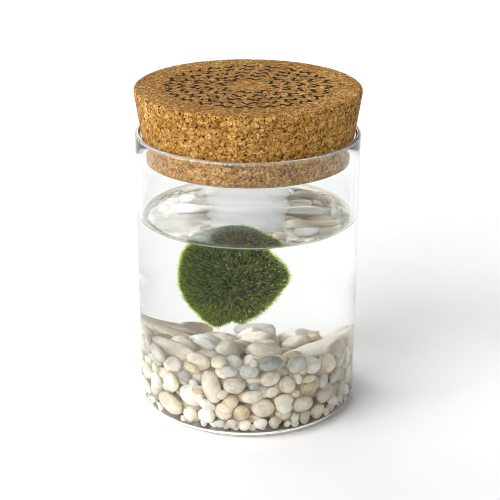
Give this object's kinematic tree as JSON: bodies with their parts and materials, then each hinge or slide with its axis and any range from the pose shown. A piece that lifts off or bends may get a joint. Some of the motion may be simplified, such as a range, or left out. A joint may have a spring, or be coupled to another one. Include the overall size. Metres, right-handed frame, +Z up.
{
  "type": "marimo moss ball in a corked glass jar",
  "caption": "Green moss ball under the surface of the water in a round glass jar, over a bed of pale washed pebbles, with a wide tapered cork stopper.",
  "frame": {"origin": "centre of the jar's flat underside, on the surface it stands on", "axes": "+Z up along the jar's axis; -Y towards the front, where the moss ball lies near the glass; +X to the right, seen from the front"},
  "size_m": [0.0854, 0.0854, 0.127],
  "materials": {
    "clear_glass": "clear, fire-polished lip",
    "pressed_cork": "matte, pressed granules",
    "water": "clear still water",
    "moss": "soft green filaments, wet",
    "washed_pebbles": "smooth, wet, many tones",
    "ivory_pebble": "smooth, wet",
    "cream_pebble": "smooth, wet",
    "white_pebble": "smooth, wet",
    "beige_pebble": "smooth, wet",
    "tan_pebble": "smooth, wet",
    "mauve_pebble": "smooth, wet",
    "grey_pebble": "smooth, wet",
    "slate_pebble": "smooth, wet",
    "yellow_pebble": "smooth, wet",
    "olive_pebble": "smooth, wet"
  },
  "bodies": {
    "root": {"glass_jar": "clear_glass", "cork_stopper": "pressed_cork", "water_lower": "water", "water_upper": "water", "moss_ball": "moss", "pebble_bed": "washed_pebbles", "pebble_01": "beige_pebble", "pebble_02": "ivory_pebble", "pebble_03": "cream_pebble", "pebble_04": "white_pebble", "pebble_05": "beige_pebble", "pebble_06": "tan_pebble", "pebble_07": "mauve_pebble", "pebble_08": "beige_pebble", "pebble_09": "tan_pebble", "pebble_10": "grey_pebble", "pebble_11": "mauve_pebble", "pebble_12": "ivory_pebble", "pebble_13": "ivory_pebble", "pebble_14": "white_pebble", "pebble_15": "mauve_pebble", "pebble_16": "slate_pebble", "pebble_17": "grey_pebble", "pebble_18": "beige_pebble", "pebble_19": "tan_pebble", "pebble_20": "grey_pebble", "pebble_21": "grey_pebble", "pebble_22": "grey_pebble", "pebble_23": "slate_pebble", "pebble_24": "grey_pebble", "pebble_25": "beige_pebble", "pebble_26": "beige_pebble", "pebble_27": "slate_pebble", "pebble_28": "beige_pebble", "pebble_29": "cream_pebble", "pebble_30": "yellow_pebble", "pebble_31": "beige_pebble", "pebble_32": "cream_pebble", "pebble_33": "cream_pebble", "pebble_34": "tan_pebble", "pebble_35": "white_pebble", "pebble_36": "mauve_pebble", "pebble_37": "beige_pebble", "pebble_38": "olive_pebble", "pebble_39": "yellow_pebble", "pebble_40": "grey_pebble", "pebble_41": "white_pebble", "pebble_42": "cream_pebble", "pebble_43": "grey_pebble", "pebble_44": "mauve_pebble", "pebble_45": "grey_pebble", "pebble_46": "beige_pebble", "pebble_47": "mauve_pebble", "pebble_48": "grey_pebble", "pebble_49": "cream_pebble", "pebble_50": "cream_pebble"}
  },
  "joints": []
}
